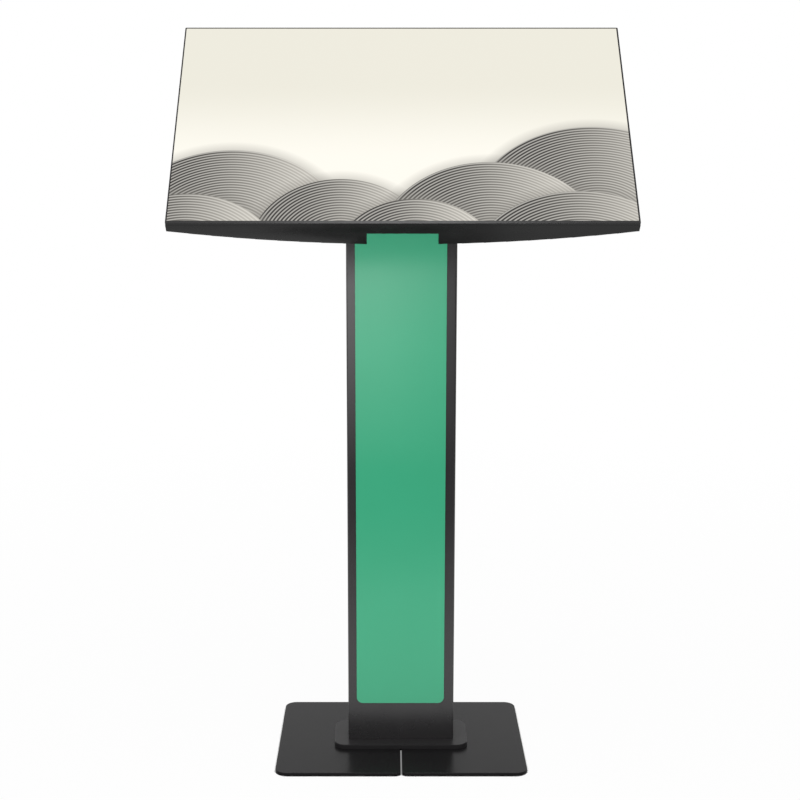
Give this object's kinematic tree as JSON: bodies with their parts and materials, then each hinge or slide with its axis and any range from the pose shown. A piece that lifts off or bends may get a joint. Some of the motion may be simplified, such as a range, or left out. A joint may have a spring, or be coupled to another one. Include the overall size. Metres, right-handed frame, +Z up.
{
  "type": "display floor stand",
  "caption": "Floor stand with a square column that holds a wide, thin screen at a slant over a split steel base.",
  "frame": {"origin": "on the floor under the middle of the base", "axes": "+Z up, +X to the right of someone who stands at the screen, +Y away from them towards the back"},
  "size_m": [0.72, 0.3855, 1.2345],
  "materials": {
    "plate_steel": "semi-gloss black powder coat",
    "flange_steel": "semi-gloss black powder coat",
    "column_steel": "satin black powder coat",
    "door_steel": "satin black powder coat",
    "head_steel": "satin black powder coat",
    "zinc_fasteners": "bright zinc plate",
    "lock_chrome": "polished",
    "black_screws": "black oxide",
    "rubber": "matt moulded",
    "nylon": "natural",
    "green_panel": "satin printed sheet",
    "magnet": "matt",
    "bezel": "satin black",
    "lit_screen": "lit picture under an anti-glare face",
    "mid_frame_plastic": "moulded",
    "diffuser_film": "milky film",
    "clear_acrylic": "clear",
    "led_strip": "white strip",
    "chassis_steel": "bare zinc-coated sheet",
    "shell_plastic": "fine moulded texture, dark grey",
    "button_plastic": "satin",
    "circuit_board": "solder mask",
    "speaker_plastic": "moulded",
    "socket_plastic": "moulded"
  },
  "bodies": {
    "stand": {"base_plate_left": "plate_steel", "base_plate_right": "plate_steel", "floor_pads": "rubber", "seam_pad": "rubber", "base_screws": "zinc_fasteners", "foot_flange": "flange_steel", "column_body": "column_steel", "column_cap": "column_steel", "cap_grommet": "rubber", "door_hinge_pins": "zinc_fasteners", "graphic_panel": "green_panel", "magnet_sheet": "magnet", "head_bracket": "head_steel", "head_bolts": "zinc_fasteners", "tilt_pin": "zinc_fasteners", "tilt_nut": "zinc_fasteners", "friction_washers": "nylon"},
    "door": {"rear_door": "door_steel", "foot_grommet": "rubber", "lock_housing": "lock_chrome", "lock_nut": "zinc_fasteners"},
    "lock": {"lock_plug": "lock_chrome", "lock_cam": "zinc_fasteners", "cam_screw": "zinc_fasteners"},
    "display": {"tilt_bracket": "head_steel", "vesa_screws": "zinc_fasteners", "vesa_standoffs": "zinc_fasteners", "bezel_frame": "bezel", "lcd_panel": "lit_screen", "mid_frame": "mid_frame_plastic", "diffuser": "diffuser_film", "light_guide": "clear_acrylic", "led_bar": "led_strip", "rear_chassis": "chassis_steel", "rear_shell": "shell_plastic", "shell_screws": "black_screws", "main_board": "circuit_board", "power_board": "circuit_board", "board_standoffs": "zinc_fasteners", "board_screws": "zinc_fasteners", "driver_board": "circuit_board", "speakers": "speaker_plastic", "power_inlet": "socket_plastic", "port_block": "socket_plastic", "button_board": "circuit_board"},
    "button": {"power_button": "button_plastic"}
  },
  "joints": [
    {"name": "display_tilt", "type": "hinge", "parent": "stand", "child": "display", "pos_m": [0, -0.002, 1.004], "axis": [1, 0, 0], "range_deg": [-30, 30]},
    {"name": "door_swing", "type": "hinge", "parent": "stand", "child": "door", "pos_m": [-0.0745, 0.0255, 0.4847], "axis": [0, 0, 1], "range_deg": [0, 90]},
    {"name": "lock_turn", "type": "hinge", "parent": "door", "child": "lock", "pos_m": [0.06, 0.0285, 0.56], "axis": [0, 1, 0], "range_deg": [0, 90]},
    {"name": "button_press", "type": "slide", "parent": "display", "child": "button", "axis": [0, -0.7071, 0.7071], "range_m": [0, 0.001], "stiffness_N_per_m": 500, "springref_m": -0.001}
  ]
}
